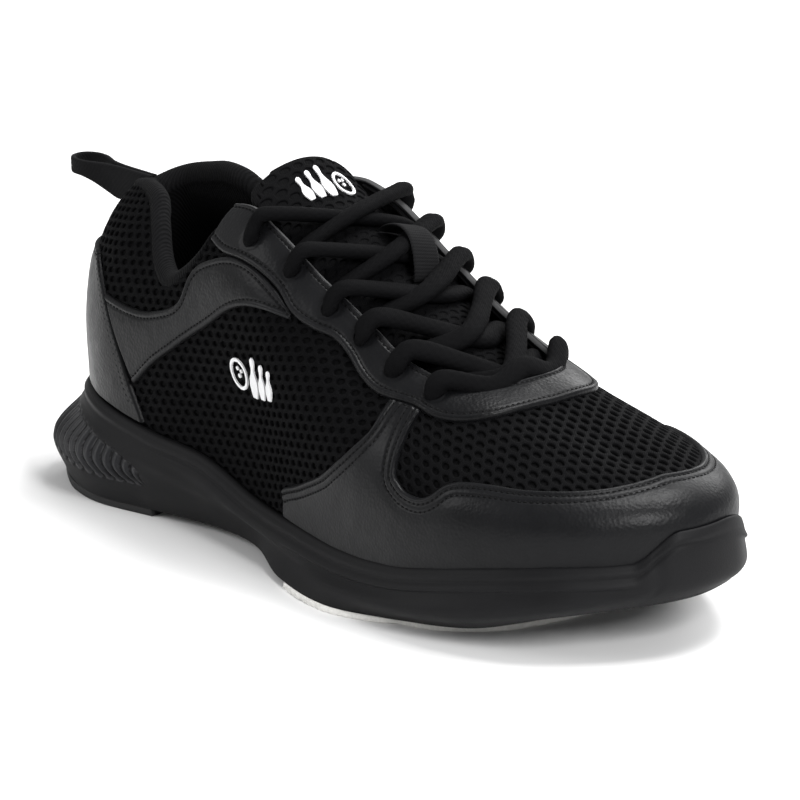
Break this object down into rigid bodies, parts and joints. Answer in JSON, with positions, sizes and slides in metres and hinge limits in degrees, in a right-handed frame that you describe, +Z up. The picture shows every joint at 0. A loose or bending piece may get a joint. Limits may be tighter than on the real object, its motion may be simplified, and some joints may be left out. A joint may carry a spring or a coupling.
{
  "type": "bowling shoe",
  "caption": "Athletic right bowling shoe with mesh and leather upper, padded collar and tongue, laced throat, heel pull tab, rubber heel pad and slide sole.",
  "frame": {"origin": "centre of the bounding box at the floor plane", "axes": "+X from heel to toe, +Y towards the medial (big toe) side of this right shoe, +Z up from the floor"},
  "size_m": [0.308, 0.1109, 0.128],
  "materials": {
    "sole_foam": "matt moulded EVA",
    "rubber": "matt rubber",
    "slide": "short white microfibre pile",
    "shank_board": "dull nylon",
    "board": "pressed fibre board",
    "filler": "felt",
    "stiffener": "thermoplastic sheet",
    "footbed": "brushed knit over foam",
    "mesh": "black air mesh with staggered round holes",
    "leather": "black grained leather, satin",
    "backer": "woven reinforcement",
    "foam": "open-cell foam",
    "lining": "black ribbed textile lining",
    "badge": "white printed pictogram",
    "webbing": "black grosgrain webbing",
    "cord": "black braided polyester",
    "aglet": "black acetate film"
  },
  "bodies": {
    "shoe": {"midsole": "sole_foam", "heel_pad": "rubber", "slide_sole": "slide", "shank": "shank_board", "bottom_filler": "filler", "insole_board": "board", "toe_puff": "stiffener", "heel_counter": "stiffener", "vamp_mesh": "mesh", "quarter_mesh_lateral": "mesh", "quarter_mesh_medial": "mesh", "toe_guard": "leather", "eyestay": "leather", "eyelet_backer_lateral": "backer", "eyelet_backer_medial": "backer", "side_panel_lateral": "leather", "side_panel_medial": "leather", "heel_overlay": "leather", "collar_foam": "foam", "collar_lining": "lining", "vamp_lining": "lining", "tongue_mesh": "mesh", "tongue_foam": "foam", "tongue_lining": "lining", "lace_keeper": "webbing", "lace": "cord", "aglets": "aglet", "tab_anchor": "webbing"},
    "tongue_top": {"tongue_top": "mesh", "tongue_badge": "badge"},
    "pull_tab": {"pull_tab": "webbing"},
    "sockliner": {"sockliner": "footbed"}
  },
  "joints": [
    {"name": "tongue_top_bend", "type": "hinge", "parent": "shoe", "child": "tongue_top", "pos_m": [-0.02296, 0, 0.113], "axis": [0, 1, 0], "range_deg": [-15, 15], "stiffness_Nm_per_rad": 0.05},
    {"name": "pull_tab_bend", "type": "hinge", "parent": "shoe", "child": "pull_tab", "pos_m": [-0.12246, 0.0006, 0.101], "axis": [0, 0, 1], "range_deg": [-25, 25], "stiffness_Nm_per_rad": 0.01},
    {"name": "sockliner_lift", "type": "hinge", "parent": "shoe", "child": "sockliner", "pos_m": [0.13204, 0, 0.036], "axis": [0, 1, 0], "range_deg": [0, 5]}
  ]
}
